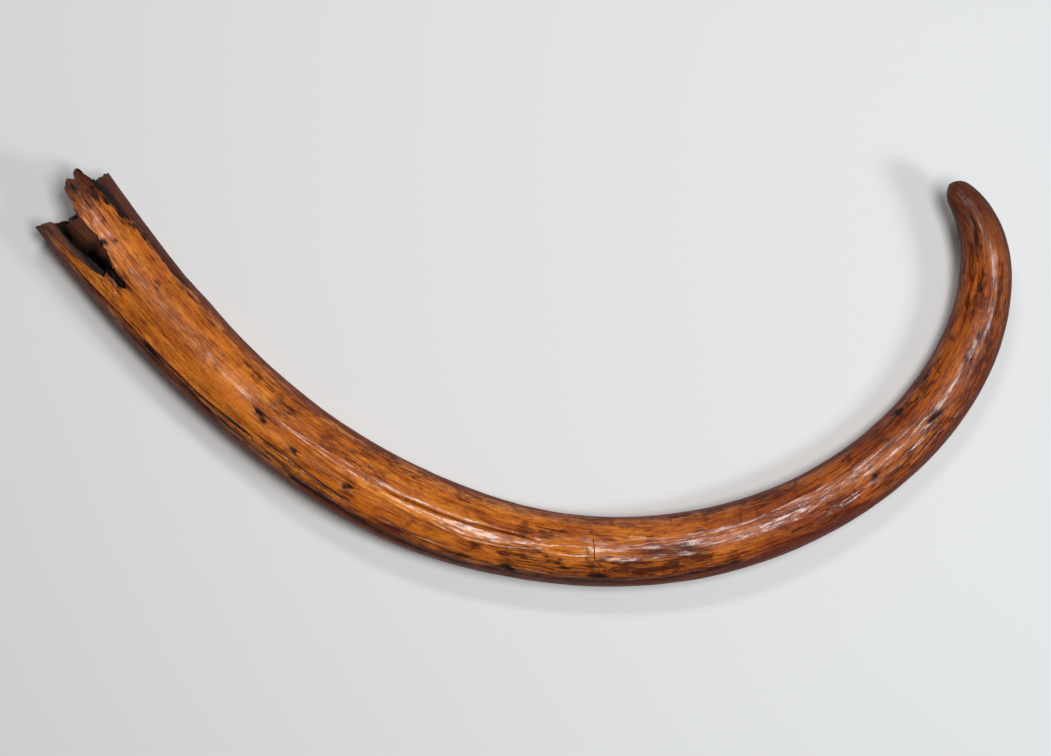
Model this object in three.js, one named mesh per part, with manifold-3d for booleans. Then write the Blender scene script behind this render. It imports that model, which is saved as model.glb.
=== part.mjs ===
// A mammoth tusk lying on its side, bowed in plan and a little wound, with its hooked tip raised.
// It grew as one piece, so it is one closed solid: the tusk is first shaped straight, its axis
// along X with the broken root end at 0, and then bent along its spine. Millimetres, +Z up.
// The origin is under the middle of its box, on the surface that it lies on.
import * as THREE from 'three';
import { mergeVertices } from 'three/addons/utils/BufferGeometryUtils.js';
import Module from 'manifold-3d';

const wasm = await Module();
wasm.setup();

// ---- Driving dimensions ----
const AXIS_LENGTH = 1278;       // along the spine, from the sides of the root rim to the tip
const BENT_LENGTH = 1267.8;     // the stretch that the bow's formula covers
const SECTION_HEIGHT = 0.95;    // the section is a little flatter than it is wide
const NOSE_LENGTH = 19;         // the rounded end of the tip
const SIDES = 32;               // facets round the section
const RINGS = 66;               // rings along the outside

// Half the width at stations along the spine.
const TAPER = [
  [0, 46.6], [80, 44.6], [260, 40], [500, 39.7], [620, 35.8], [800, 34],
  [1000, 31.2], [1140, 27.6], [1225, 22], [1262, 15.6],
];

// How far the underside stands off the surface: it lies on the root, the middle and near the tip.
const LIFT = [[0, 0], [76, 0], [254, 7], [570, 0], [824, 4], [1010, 0], [1141, 16], [1268, 58]];

// The hollow that held the pulp: half its width at stations along the spine, down to a point.
const PULP_DEPTH = 200;
const PULP_TAPER = [[0, 37], [60, 31.5], [120, 22], [170, 10.5], [PULP_DEPTH, 0]];
const PULP_RINGS = 9;

// The bow in plan: the heading at the rim, and a curvature that eases in, falls back and then
// rises steeply into the hook of the tip. Angles are in radians over the bent length.
const BOW = { heading: -0.9251, start: 0.164, swell: 8.3823, relax: -7.004, hook: 13.4724, reach: 0.0949 };

// The broken rim: how far along the spine it lies at each angle round the section, where
// 0 degrees is the inside of the bow, 90 the top and 180 the outside of the bow.
const RIM = [
  [0, -1], [40, 1], [54, -12], [62, -16], [76, -6], [90, 1],
  [134, 6], [180, 0], [220, 9], [262, 16], [300, 11], [335, 3], [360, -1],
];
const RIM_REACH = 120;          // the ragged rim is evened out over this length
const RIM_BEVEL = 4;            // the rim slopes back this far towards the hollow

// The split that opens the hollow on top, seen from above: along the spine, then across it.
const SPLIT = [[-60, -34], [48, -30], [72, -24], [84, -16], [76, -8], [60, -5], [-60, -3]];
const SPLIT_FLOOR = 4;          // the cut starts this far above the axis

// The crack between the sound outer layer and the layer that has flaked off beside it.
const CRACK = [[-60, 27], [20, 28.5], [52, 35], [82, 41], [20, 38], [-60, 37]];
const CRACK_FLOOR = 25.5;

// Where the outer layer has flaked off: the angles, the length and the thickness that is gone.
const FLAKE = { from: 8, to: 38, length: 150, fade: 45, thickness: 2.2 };

const REST_TRIM = 1;            // what wear has taken off where it lies, which makes flats
const OVERSIZE = 2000;          // a cutting block that is larger than the tusk every way

// ---- Measures along the tusk ----
function smoothThrough(stations) {
  const at = stations.map((station) => station[0]);
  const values = stations.map((station) => station[1]);
  const cubic = new THREE.CubicInterpolant(at, values, 1);
  return (position) => cubic.evaluate(position)[0];
}

const taperAt = smoothThrough(TAPER);
const pulpAt = smoothThrough(PULP_TAPER);
const liftAt = smoothThrough(LIFT);
const rimAt = smoothThrough(RIM);

function halfWidth(along) {
  const noseStart = AXIS_LENGTH - NOSE_LENGTH;
  if (along <= noseStart) return taperAt(along);
  const intoNose = Math.min(1, (along - noseStart) / NOSE_LENGTH);
  return taperAt(noseStart) * Math.sqrt(1 - intoNose ** 2);
}

// ---- The straight tusk ----
// The profile runs from the point of the pulp hollow out to the rim and back along the outside.
function profile() {
  const points = [];
  for (let ring = PULP_RINGS; ring >= 0; ring -= 1) {
    const along = (PULP_DEPTH * ring) / PULP_RINGS;
    points.push(new THREE.Vector2(Math.max(0, pulpAt(along)), along));
  }
  for (let ring = 0; ring < RINGS; ring += 1) {
    const share = ring / RINGS;
    // rings lie closer together near the rim, and closer still in the nose
    const along = AXIS_LENGTH * Math.sin((Math.PI / 2) * share ** 1.15) ** 1.05;
    points.push(new THREE.Vector2(halfWidth(along), along));
  }
  points.push(new THREE.Vector2(0, AXIS_LENGTH));
  return points;
}

function flakeDepth(along, degrees) {
  const angle = degrees > 180 ? degrees - 360 : degrees;
  if (angle < FLAKE.from || angle > FLAKE.to) return 0;
  const left = THREE.MathUtils.clamp((FLAKE.length - along) / FLAKE.fade, 0, 1);
  return FLAKE.thickness * left;
}

// Breaks the even end of the turned shape to the rim's outline and flattens the section.
function shapeRoot(geometry) {
  const place = geometry.getAttribute('position');
  for (let i = 0; i < place.count; i += 1) {
    const [along, across, up] = [place.getX(i), place.getY(i), place.getZ(i)];
    const radius = Math.hypot(across, up);
    const degrees = (THREE.MathUtils.radToDeg(Math.atan2(up, across)) + 360) % 360;
    const outside = radius > (halfWidth(along) + pulpAt(along)) / 2;
    const evened = THREE.MathUtils.clamp(1 - along / RIM_REACH, 0, 1) ** 2;
    const ragged = (rimAt(degrees) + (outside ? 0 : RIM_BEVEL)) * evened;
    const kept = outside && radius > 0 ? (radius - flakeDepth(along, degrees)) / radius : 1;
    place.setXYZ(i, along + ragged, across * kept, up * kept * SECTION_HEIGHT);
  }
  return geometry;
}

function straightTusk() {
  const turned = new THREE.LatheGeometry(profile(), SIDES);
  turned.rotateZ(-Math.PI / 2);
  return shapeRoot(turned);
}

// ---- Booleans ----
function toSolid(geometry) {
  const bare = geometry.clone();
  bare.deleteAttribute('normal');
  bare.deleteAttribute('uv');
  const merged = mergeVertices(bare, 1e-3);
  const corners = merged.getIndex().array;
  const kept = [];
  for (let i = 0; i < corners.length; i += 3) {
    const [a, b, c] = corners.slice(i, i + 3);
    if (a !== b && b !== c && c !== a) kept.push(a, b, c);
  }
  return new wasm.Manifold(new wasm.Mesh({
    numProp: 3,
    vertProperties: new Float32Array(merged.getAttribute('position').array),
    triVerts: new Uint32Array(kept),
  }));
}

function toGeometry(solid) {
  const { vertProperties, triVerts } = solid.getMesh();
  const geometry = new THREE.BufferGeometry();
  geometry.setAttribute('position', new THREE.BufferAttribute(vertProperties, 3));
  geometry.setIndex(new THREE.BufferAttribute(triVerts, 1));
  geometry.computeVertexNormals();
  return geometry;
}

// A block that cuts straight down through the top of the tusk, as far as a given height.
function cutDown(outline, floor) {
  const shape = new THREE.Shape(outline.map(([along, across]) => new THREE.Vector2(along, across)));
  const block = new THREE.ExtrudeGeometry(shape, { depth: 2 * TAPER[0][1], bevelEnabled: false });
  return toSolid(block.translate(0, 0, floor));
}

// ---- The bend ----
function bowHeading(share) {
  const { heading, start, swell, relax, hook, reach } = BOW;
  const eased = start * share + (swell * share ** 2) / 2 + (relax * share ** 3) / 3;
  const hooked = hook * reach * (Math.exp((share - 1) / reach) - Math.exp(-1 / reach));
  return heading + eased + hooked;
}

// The spine, as one point with its heading for each millimetre along it.
function walkSpine() {
  const spine = [{ x: 0, y: 0, heading: bowHeading(0) }];
  for (let along = 1; along <= AXIS_LENGTH; along += 1) {
    const last = spine[along - 1];
    const midway = bowHeading((along - 0.5) / BENT_LENGTH);
    spine.push({
      x: last.x + Math.cos(midway),
      y: last.y + Math.sin(midway),
      heading: bowHeading(along / BENT_LENGTH),
    });
  }
  return spine;
}

const spine = walkSpine();

function spineAt(along) {
  const index = THREE.MathUtils.clamp(Math.floor(along), 0, AXIS_LENGTH - 1);
  const { x, y, heading } = spine[index];
  const past = along - index;
  const height = (at) => taperAt(at) * SECTION_HEIGHT + liftAt(at);
  const slope = Math.atan(height(index + 0.5) - height(index - 0.5));
  return {
    point: new THREE.Vector3(x + past * Math.cos(heading), y + past * Math.sin(heading), height(along)),
    heading,
    slope,
  };
}

function bend(geometry) {
  const place = geometry.getAttribute('position');
  const corner = new THREE.Vector3();
  for (let i = 0; i < place.count; i += 1) {
    corner.fromBufferAttribute(place, i);
    const { point, heading, slope } = spineAt(corner.x);
    corner.x = 0;
    corner.applyEuler(new THREE.Euler(0, -slope, heading, 'ZYX')).add(point);
    place.setXYZ(i, corner.x, corner.y, corner.z);
  }
  return geometry;
}

// ---- The finished tusk ----
function tusk() {
  const broken = toSolid(straightTusk())
    .subtract(cutDown(SPLIT, SPLIT_FLOOR))
    .subtract(cutDown(CRACK, CRACK_FLOOR));
  const bent = bend(toGeometry(broken));
  bent.computeBoundingBox();
  const middle = bent.boundingBox.getCenter(new THREE.Vector3());
  bent.translate(-middle.x, -middle.y, -REST_TRIM);

  const below = new THREE.BoxGeometry(OVERSIZE, OVERSIZE, OVERSIZE).translate(0, 0, -OVERSIZE / 2);
  return toGeometry(toSolid(bent).subtract(toSolid(below)));
}

const ivory = new THREE.MeshStandardMaterial({ color: 0xb4662a, roughness: 0.35, metalness: 0 });

const mammothTusk = new THREE.Group();
const body = new THREE.Mesh(tusk(), ivory);
body.name = 'tusk';
mammothTusk.add(body);

export default mammothTusk;
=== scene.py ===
# %% [markdown]
# # A mammoth tusk, lying on its side
# The tusk is one piece of ivory that grew as a bow. Its root end is broken open, so the hollow that
# held the pulp shows; the outside is polished amber-brown, darkened along cracks and grooves.
# The frame gives its real size and place. Everything here is in metres, +Z up.

# %% Load the frame
import math

import bpy
import numpy as np
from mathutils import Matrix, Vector, noise


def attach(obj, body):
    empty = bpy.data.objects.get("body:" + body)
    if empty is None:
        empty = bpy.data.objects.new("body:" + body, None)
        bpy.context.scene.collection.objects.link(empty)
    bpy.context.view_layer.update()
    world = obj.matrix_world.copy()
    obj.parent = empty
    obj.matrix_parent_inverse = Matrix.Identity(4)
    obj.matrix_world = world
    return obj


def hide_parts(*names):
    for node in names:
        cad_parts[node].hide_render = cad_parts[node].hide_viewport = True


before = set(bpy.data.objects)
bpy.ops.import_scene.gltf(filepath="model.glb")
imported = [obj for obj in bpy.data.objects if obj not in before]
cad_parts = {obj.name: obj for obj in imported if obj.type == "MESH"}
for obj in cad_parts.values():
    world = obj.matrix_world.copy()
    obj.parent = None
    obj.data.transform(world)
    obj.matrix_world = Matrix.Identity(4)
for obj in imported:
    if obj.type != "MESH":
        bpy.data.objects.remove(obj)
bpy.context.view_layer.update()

# %% [markdown]
# ## The camera
# A tusk can't stand, so it lies down and the camera looks straight down on it, as a copy stand does.
# A long lens from three metres keeps the bow free of perspective. The alternative is an orthographic
# camera, but then the raised tip and the open root end lose the little depth that they have.

# %% The camera looks straight down
CAMERA_HEIGHT = 3.04
CAMERA_OVER = (0.0025, 0.001)
VIEW_WIDTH = 1.051              # what the picture spans at the height of the tusk's middle
MIDDLE_HEIGHT = 0.04
SENSOR = 36.0

camera_data = bpy.data.cameras.new("camera_above")
camera_data.sensor_width = SENSOR
camera_data.lens = SENSOR * (CAMERA_HEIGHT - MIDDLE_HEIGHT) / VIEW_WIDTH
camera_data.clip_end = 50
camera = bpy.data.objects.new("camera_above", camera_data)
camera.location = (*CAMERA_OVER, CAMERA_HEIGHT)
bpy.context.scene.collection.objects.link(camera)
bpy.context.scene.camera = camera
print("lens", round(camera_data.lens, 1), "mm")

# %% [markdown]
# ## The tusk's measures
# A tusk is easiest to shape straight, like a carrot on a bench, and to bend at the end. So its
# measures run along its spine: half its width, how far its underside is off the surface, and how
# its heading turns. A few stations and a smooth curve through them are enough, because ivory grows
# evenly. These are the same driving values that the solid in the frame was built from.

# %% Stations along the spine, and smooth curves through them
MM = 0.001
TUSK_LENGTH = 1278 * MM
BENT_LENGTH = 1267.8 * MM
SECTION_HEIGHT = 0.95
NOSE_LENGTH = 19 * MM
REST_TRIM = 1 * MM
SPINE_START = (-449.6 * MM, 179.0 * MM)

TAPER = [(0, 46.6), (80, 44.6), (260, 40), (500, 39.7), (620, 35.8), (800, 34),
         (1000, 31.2), (1140, 27.6), (1225, 22), (1262, 15.6)]
LIFT = [(0, 0), (76, 0), (254, 7), (570, 0), (824, 4), (1010, 0), (1141, 16), (1268, 58)]
PULP_TAPER = [(0, 37), (60, 31.5), (120, 22), (170, 10.5), (200, 0)]
BOW = {"heading": -0.9251, "start": 0.164, "swell": 8.3823, "relax": -7.004, "hook": 13.4724,
       "reach": 0.0949}


def smooth_through(stations, scale=MM, turn=MM):
    """A curve through (place, value) stations that keeps their trend and has no corners."""
    at = np.array([s[0] for s in stations], float) * scale
    value = np.array([s[1] for s in stations], float) * turn
    slope = np.gradient(value, at)

    def curve(place):
        place = np.clip(np.asarray(place, float), at[0], at[-1])
        i = np.clip(np.searchsorted(at, place) - 1, 0, len(at) - 2)
        span = at[i + 1] - at[i]
        t = (place - at[i]) / span
        return ((2 * t**3 - 3 * t**2 + 1) * value[i] + (t**3 - 2 * t**2 + t) * span * slope[i]
                + (3 * t**2 - 2 * t**3) * value[i + 1] + (t**3 - t**2) * span * slope[i + 1])

    return curve


taper_at = smooth_through(TAPER)
lift_at = smooth_through(LIFT)
pulp_at = smooth_through(PULP_TAPER)


def half_width(along):
    """Half the tusk's width: the taper, closed by the round nose."""
    nose = np.clip((np.asarray(along, float) - (TUSK_LENGTH - NOSE_LENGTH)) / NOSE_LENGTH, 0, 1)
    return taper_at(along) * np.sqrt(1 - nose**2)


print("half width at root, middle and hook:", *(round(float(half_width(s)), 4) for s in (0, 0.6, 1.2)))

# %% [markdown]
# ## Small helpers for work at the bench
# Operators act on whatever is selected, and the frame arrives selected, so every step first picks
# its own piece. Modifiers are applied at once, because the next cut needs the real surface.

# %% Pick a piece, apply a modifier


def pick(piece):
    if bpy.context.object and bpy.context.object.mode != "OBJECT":
        bpy.ops.object.mode_set(mode="OBJECT")
    bpy.ops.object.select_all(action="DESELECT")
    piece.select_set(True)
    bpy.context.view_layer.objects.active = piece


def finish_with(piece, kind, **settings):
    """Adds a modifier and applies it."""
    pick(piece)
    modifier = piece.modifiers.new(kind.lower(), kind)
    for name, value in settings.items():
        setattr(modifier, name, value)
    bpy.ops.object.modifier_apply(modifier=modifier.name)


def points_of(piece):
    co = np.empty(len(piece.data.vertices) * 3)
    piece.data.vertices.foreach_get("co", co)
    return co.reshape(-1, 3)


def select_points(piece, chosen):
    """Selects the chosen vertices, told by a boolean for each, and leaves the piece in edit mode."""
    pick(piece)
    bpy.ops.object.mode_set(mode="EDIT")
    bpy.ops.mesh.select_mode(type="VERT")
    bpy.ops.object.mode_set(mode="OBJECT")
    for group in (piece.data.polygons, piece.data.edges, piece.data.vertices):
        group.foreach_set("select", np.zeros(len(group), bool))
    piece.data.vertices.foreach_set("select", chosen)
    bpy.ops.object.mode_set(mode="EDIT")


def edit_all():
    bpy.ops.object.mode_set(mode="EDIT")
    bpy.ops.mesh.select_all(action="SELECT")


def extrude_ring(step, grow=None, centre=0.0):
    """Extrudes the selected ring along X, and makes it wider or narrower about the axis."""
    bpy.ops.mesh.extrude_edges_move(TRANSFORM_OT_translate={"value": (step, 0, 0)})
    if grow is not None:
        bpy.ops.transform.resize(value=(1, grow, grow), center_override=(centre, 0, 0))


def settle(piece, name):
    """Names a new primitive and takes its place, turn and size into its mesh."""
    piece.name = piece.data.name = name
    pick(piece)
    bpy.ops.object.transform_apply(location=True, rotation=True, scale=True)
    return piece


# %% [markdown]
# ## The straight tusk
# The real tusk grew as cone inside cone from its root. A circle that is extruded ring by ring, each
# ring scaled to its station, gives clean quads that run with the grain, which a lathe of a profile
# would too; the extrusion lets the rings lie closer where the break and the nose need them. It
# starts a little before the rim, so that the broken end can be cut from sound ivory.

# %% Extrude the skin ring by ring
SIDES = 56
SKIN_START = -34 * MM
ROOT_END = 130 * MM
NOSE_RINGS = 30 * MM            # where the rings start to lie closer, before the tip
NOSE_POINT = 1 * MM             # what the smoothing will round off again
rings = np.concatenate([
    np.arange(SKIN_START, ROOT_END, 5 * MM),
    np.linspace(ROOT_END, TUSK_LENGTH - NOSE_RINGS, 54),
    TUSK_LENGTH - NOSE_RINGS * (1 - np.sin(np.linspace(0, math.pi / 2, 8)[1:-1])),
])

bpy.ops.object.select_all(action="DESELECT")
bpy.ops.mesh.primitive_circle_add(
    vertices=SIDES, radius=float(half_width(0)), location=(rings[0], 0, 0), rotation=(0, math.pi / 2, 0))
tusk = settle(bpy.context.object, "tusk_body")
edit_all()
for before, here in zip(rings[:-1], rings[1:]):
    extrude_ring(here - before, float(half_width(here) / half_width(before)), here)
extrude_ring(TUSK_LENGTH + NOSE_POINT - rings[-1])
bpy.ops.mesh.merge(type="CENTER")
bpy.ops.object.mode_set(mode="OBJECT")
print(len(rings), "rings,", len(tusk.data.polygons), "faces")

# %% [markdown]
# ## The pulp hollow
# In life soft pulp filled the root end, and the ivory grew round it, so the hollow is a cone that
# ends in a point. It is the same skin turned inwards: the first ring is extruded to the inner width
# and then down the tusk. A boolean with a cone would do too, but this keeps the wall as clean quads.

# %% Turn the skin inwards
PULP_STEP = 14 * MM

select_points(tusk, np.abs(points_of(tusk)[:, 0] - rings[0]) < 0.01 * MM)
bpy.ops.mesh.select_mode(type="EDGE")
extrude_ring(0, float(pulp_at(0) / half_width(0)), rings[0])
hollow_end = PULP_TAPER[-1][0] * MM
stations = [rings[0], *np.arange(0, hollow_end - PULP_STEP / 2, PULP_STEP)]
for before, here in zip(stations[:-1], stations[1:]):
    extrude_ring(here - before, float(pulp_at(here) / pulp_at(before)), here)
extrude_ring(hollow_end - stations[-1])
bpy.ops.mesh.merge(type="CENTER")
bpy.ops.mesh.select_all(action="SELECT")
bpy.ops.transform.resize(value=(1, 1, SECTION_HEIGHT), center_override=(0, 0, 0))
bpy.ops.mesh.normals_make_consistent(inside=False)
bpy.ops.object.mode_set(mode="OBJECT")
finish_with(tusk, "SUBSURF", levels=2, render_levels=2)
print("closed skin with its hollow:", len(tusk.data.polygons), "faces")

# %% [markdown]
# ## Places on the skin
# Grooves, stains and flakes are told by where they are: how far along the spine, and how far round
# from the top, as the crow walks on the skin. Both come from the straight shape.

# %% How far along and how far round


def skin_places(piece):
    """Along the spine, and round the skin from the top: + is the inside of the bow. In millimetres."""
    along, across, up = points_of(piece).T
    angle = np.arctan2(across, up / SECTION_HEIGHT)
    return along / MM, angle * half_width(along) / MM, np.hypot(across, up / SECTION_HEIGHT) / MM


def seen_from_above(path):
    """A path given as seen from above, (along, across), laid on the skin as (along, round)."""
    return [(s, float(taper_at(s * MM)) / MM * math.asin(max(-1, min(1, y * MM / float(taper_at(s * MM))))))
            for s, y in path]


def wander(values, size, seed):
    """Smooth noise along one line, from -1 to 1."""
    return np.array([noise.noise(Vector((v / size, seed * 7.3, 1.7))) for v in values])


def stroke(places, path, width, seed, ends=12.0, wobble=0.7):
    """How much each point belongs to a line drawn on the skin: 1 on the line, 0 a few widths away."""
    along, around, _ = places
    corners = np.array(seen_from_above(path))
    run = np.concatenate([[0], np.cumsum(np.hypot(*np.diff(corners, axis=0).T))])
    drawn = np.linspace(0, run[-1], max(3, int(run[-1] / 4)))
    line = np.column_stack([np.interp(drawn, run, corners[:, 0]), np.interp(drawn, run, corners[:, 1])])
    heading = np.gradient(line, axis=0)
    heading /= np.hypot(*heading.T)[:, None]
    aside = wobble * (wander(drawn, 34, seed) + 0.6 * wander(drawn, 9, seed + 1))
    line += np.column_stack([-heading[:, 1], heading[:, 0]]) * aside[:, None]
    wide = width * (1 + 0.45 * wander(drawn, 23, seed + 2))
    fade = np.clip(np.minimum(drawn, run[-1] - drawn) / ends + 0.15, 0, 1)
    found = np.zeros(len(along))
    for i in range(len(line) - 1):
        step = line[i + 1] - line[i]
        reach = 3 * wide[i] + np.abs(step).max()
        near = np.nonzero((np.abs(along - line[i, 0]) < reach) & (np.abs(around - line[i, 1]) < reach))[0]
        off = np.column_stack([along[near], around[near]]) - line[i]
        share = np.clip(off @ step / (step @ step), 0, 1)
        away = np.hypot(*(off - share[:, None] * step).T)
        weight = np.exp(-(away / wide[i]) ** 2) * (fade[i] + share * (fade[i + 1] - fade[i]))
        found[near] = np.maximum(found[near], weight)
    return found


def dab(places, patch, seed, rough=0.5):
    """How much each point belongs to a patch, (along, across, long, wide), with an uneven edge."""
    along, around, _ = places
    *at, long, wide = patch
    (s, y), = seen_from_above([at])
    near = np.nonzero((np.abs(along - s) < 3 * long) & (np.abs(around - y) < 3 * wide))[0]
    found = np.zeros(len(along))
    for i in near:
        u, v = (along[i] - s) / long, (around[i] - y) / wide
        uneven = rough * noise.fractal(Vector((along[i] / 12, around[i] / 4, seed * 3.1)), 0.7, 2.0, 5)
        found[i] = np.clip(1.25 - 1.1 * math.hypot(u, v) - uneven, 0, 1)
    return found


print("the skin is", round(2 * math.pi * float(half_width(0.3)) / MM), "mm round at 300 mm")

# %% [markdown]
# ## Growth swells and long flutes
# Ivory isn't turned on a lathe: broad swells run round it and shallow flutes along it. Displace
# modifiers give both from soft noise. Their texture is placed by an empty that is stretched along
# the tusk, so that one noise makes long flutes and another round lobes.

# %% Displace the skin with soft noise


def displace(piece, name, size, octaves, stretch, shift, height, direction="NORMAL"):
    """Displaces by soft noise that is measured from an empty: larger along X means longer marks."""
    texture = bpy.data.textures.new(name, "CLOUDS")
    texture.noise_scale = size
    texture.noise_depth = octaves
    empty = bpy.data.objects.new(name + "_place", None)
    bpy.context.scene.collection.objects.link(empty)
    empty.scale = stretch
    empty.location = (shift, shift, shift)
    bpy.context.view_layer.update()
    finish_with(piece, "DISPLACE", texture=texture, texture_coords="OBJECT", texture_coords_object=empty,
                strength=height, mid_level=0.5, direction=direction)
    bpy.data.objects.remove(empty)


RELIEF = [
    # name, noise size, octaves, stretch along and across, height
    ("lobes", 0.055, 0, (3.0, 1.0, 1.0), 2.0 * MM),
    ("flutes", 0.011, 1, (16.0, 1.0, 1.0), 1.0 * MM),
    ("ripples", 0.012, 0, (1.0, 4.0, 4.0), 0.25 * MM),
    ("dents", 0.009, 1, (2.8, 1.0, 1.0), 0.38 * MM),
    ("striations", 0.0042, 2, (14.0, 1.0, 1.0), 0.45 * MM),
]
RELIEF_SHIFT = 0.013            # each noise is measured from another place
for number, (name, size, octaves, stretch, height) in enumerate(RELIEF):
    displace(tusk, name, size, octaves, stretch, RELIEF_SHIFT * (number + 1), height)
print("relief:", ", ".join(row[0] for row in RELIEF))

# %% [markdown]
# ## Grooves, lips and flakes
# Burial and handling cut this tusk up: drying cracks opened into grooves with raised lips, and by
# the root end an outer layer has flaked off. Each is a stroke or a patch of weight, as with a weight
# brush, and a Displace modifier moves the skin by that weight. Cutting them as booleans would leave
# hard walls, but most of them are worn round.

# %% Strokes and patches as vertex weights
GROOVES = [
    # path as (along, across) seen from above, width, depth
    ([(34, -38.5), (100, -34), (140, -31.5)], 1.3, 1.6),
    ([(120, -37), (180, -35), (260, -33)], 1.1, 1.0),
    ([(105, -33), (162, -29.5), (195, -29), (240, -27), (297, -24)], 1.6, 2.8),
    ([(288, -19.5), (330, -18), (370, -20), (411, -22.5)], 1.3, 1.7),
    ([(350, -33), (385, -33.5), (420, -33.5), (460, -34.5)], 2.2, 1.0),
    ([(426, 5.5), (470, 6.5), (500, 7.5), (545, 7.5), (594, 6.5)], 0.95, 2.0),
    ([(433, -21.5), (465, -22), (511, -22)], 1.0, 1.3),
    ([(600, -0.5), (622, -1), (640, -1.5)], 0.9, 1.2),
    ([(880, -8.5), (920, -8)], 1.0, 1.2),
    ([(868, -13.5), (900, -11.5), (925, -11.5)], 1.1, 1.4),
    ([(978, -20), (1003, -18), (1028, -15.5)], 1.3, 2.0),
    ([(1035, -20), (1075, -21)], 1.0, 1.0),
    ([(1206, 13), (1225, 8), (1252, 4)], 2.4, 1.3),
    ([(78, -15), (90, -13.5), (103, -15), (103, -22)], 1.3, 1.6),
    ([(74, -24), (92, -26.5), (104, -23)], 1.3, 1.4),
]
LIPS = [
    ([(38, -35.5), (100, -31), (193, -26), (258, -23.5)], 1.7, 1.7),
    ([(278, 4), (340, 9), (411, 11.5), (470, 12), (530, 11), (590, 9)], 3.6, 1.2),
    ([(400, 8.2), (470, 8.8), (530, 9.2), (585, 8)], 1.5, 1.0),
    ([(315, 4), (411, -0.5), (484, -4), (521, -7.5), (560, -6.5), (590, -2), (607, 4), (645, 6.5)],
     2.2, 1.7),
    ([(572, -2), (600, -3.8), (640, -4.5)], 1.7, 0.9),
    ([(655, -8), (690, -8.5)], 2.2, 0.9),
    ([(850, -6), (868, -2), (888, 0), (930, 0)], 2.0, 1.1),
    ([(868, -10.5), (928, -9.5)], 1.2, 0.8),
    ([(985, -11), (1030, -11.5)], 1.7, 0.9),
    ([(1010, -19.5), (1070, -23)], 1.5, 0.8),
    ([(49, -1.5), (70, -3), (92, -5)], 1.4, 0.8),
]


def gather(places, strokes, seed):
    """The strongest of several strokes at each point, as a share of the deepest."""
    deepest = max(depth for *_, depth in strokes)
    found = np.zeros(len(places[0]))
    for number, (path, width, depth) in enumerate(strokes):
        found = np.maximum(found, stroke(places, path, width, seed + 5 * number) * depth / deepest)
    return found, deepest * MM


LEAST_WEIGHT = 0.004


def press(piece, name, weights, height):
    """Moves the skin along its normals by a weight: in for a height below zero."""
    group = piece.vertex_groups.new(name=name)
    for i in np.nonzero(weights > LEAST_WEIGHT)[0]:
        group.add([int(i)], float(min(1.0, weights[i])), "REPLACE")
    finish_with(piece, "DISPLACE", strength=height, mid_level=0.0, vertex_group=name)
    piece.vertex_groups.clear()


places = skin_places(tusk)
hollow_width = np.where(places[0] * MM < hollow_end, pulp_at(places[0] * MM), 0)
on_skin = places[2] > (half_width(places[0] * MM) + hollow_width) / MM / 2
groove_weights, groove_depth = gather(places, GROOVES, seed=1)
lip_weights, lip_height = gather(places, LIPS, seed=60)
press(tusk, "lips", lip_weights * on_skin, lip_height)
press(tusk, "grooves", groove_weights * on_skin, -groove_depth)
print("grooves", len(GROOVES), "lips", len(LIPS))

# %% Chips and pits
CHIPS = [
    # place along and across as seen from above, size along and round, depth
    (285, -1, 7, 4, 1), (334, -8, 9, 3.5, 1), (396, -8.5, 8, 3.5, 1.9), (372, -31, 26, 3, 1),
    (700, -3, 26, 5, 0.7), (745, -3, 12, 4, 0.7), (893, -10, 24, 3, 1.3), (942, -9, 9, 5, 1.4),
    (960, -10, 14, 3, 0.8), (1000, -9, 16, 3, 0.8), (1015, -3, 18, 4, 0.9), (1030, 21, 12, 4, 0.7),
    (1172, 11, 20, 4, 1.1), (1190, 8, 9, 3, 0.9), (1232, 10, 18, 5, 0.9), (90, -21, 12, 5, 2.4),
    (103, -19, 8, 4, 2), (76, -26, 9, 3, 1.6), (640, 20, 10, 3, 0.9), (690, 13, 12, 4, 0.8),
    (760, -24, 26, 4, 0.9), (710, -28, 22, 3.5, 0.9), (5, 12, 12, 3, 0.9),
]
CHIP_DEPTH = 2.0
chip_weights = np.zeros(len(places[0]))
for number, (*patch, depth) in enumerate(CHIPS):
    chip_weights = np.maximum(chip_weights, depth / CHIP_DEPTH * dab(places, patch, number))
press(tusk, "chips", chip_weights * on_skin, -CHIP_DEPTH * MM)

# %% The flaked layer
FLAKE_END, FLAKE_FADE, FLAKE_STEP = 170.0, 40.0, 2.2
FLAKE_EDGE = [(-34, 27), (-3, 28), (32, 33), (46, 36.5), (64, 38.5), (84, 36.5), (110, 35.5), (130, 34.5),
              (149, 36), (172, 41)]
EDGE_STEPS = np.arange(-34, 172, 2)
flake_edge = smooth_through(FLAKE_EDGE, scale=1, turn=1)
edge_round = np.array([p[1] for p in seen_from_above([(s, float(flake_edge(s))) for s in EDGE_STEPS])])
edge_round += 3.2 * wander(EDGE_STEPS, 6, 91) + 3.0 * wander(EDGE_STEPS, 17, 92)


def flaked_share(places, start, last, fade):
    """How far the outer layer is gone: 0 on the sound side of its edge, 1 past it, until last round."""
    along, around, _ = places
    past_edge = around - np.interp(along, EDGE_STEPS, edge_round)
    share = np.clip(past_edge / 1.2 + start, 0, 1) * np.clip((FLAKE_END - along) / FLAKE_FADE, 0, 1)
    return share * np.clip((last - around) / fade, 0, 1)


flaked = flaked_share(places, 0.0, 95, 12)
press(tusk, "flake", flaked * on_skin, -FLAKE_STEP * MM)
print("chips", len(CHIPS), "flake", int((flaked > 0.5).sum()), "points")

# %% [markdown]
# ## Ivory that is broken
# Where the tusk is broken its layers show, dull and splintered, so the cutters that follow carry a
# material of their own and leave it on the faces that they cut. The colours come further down.

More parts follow.
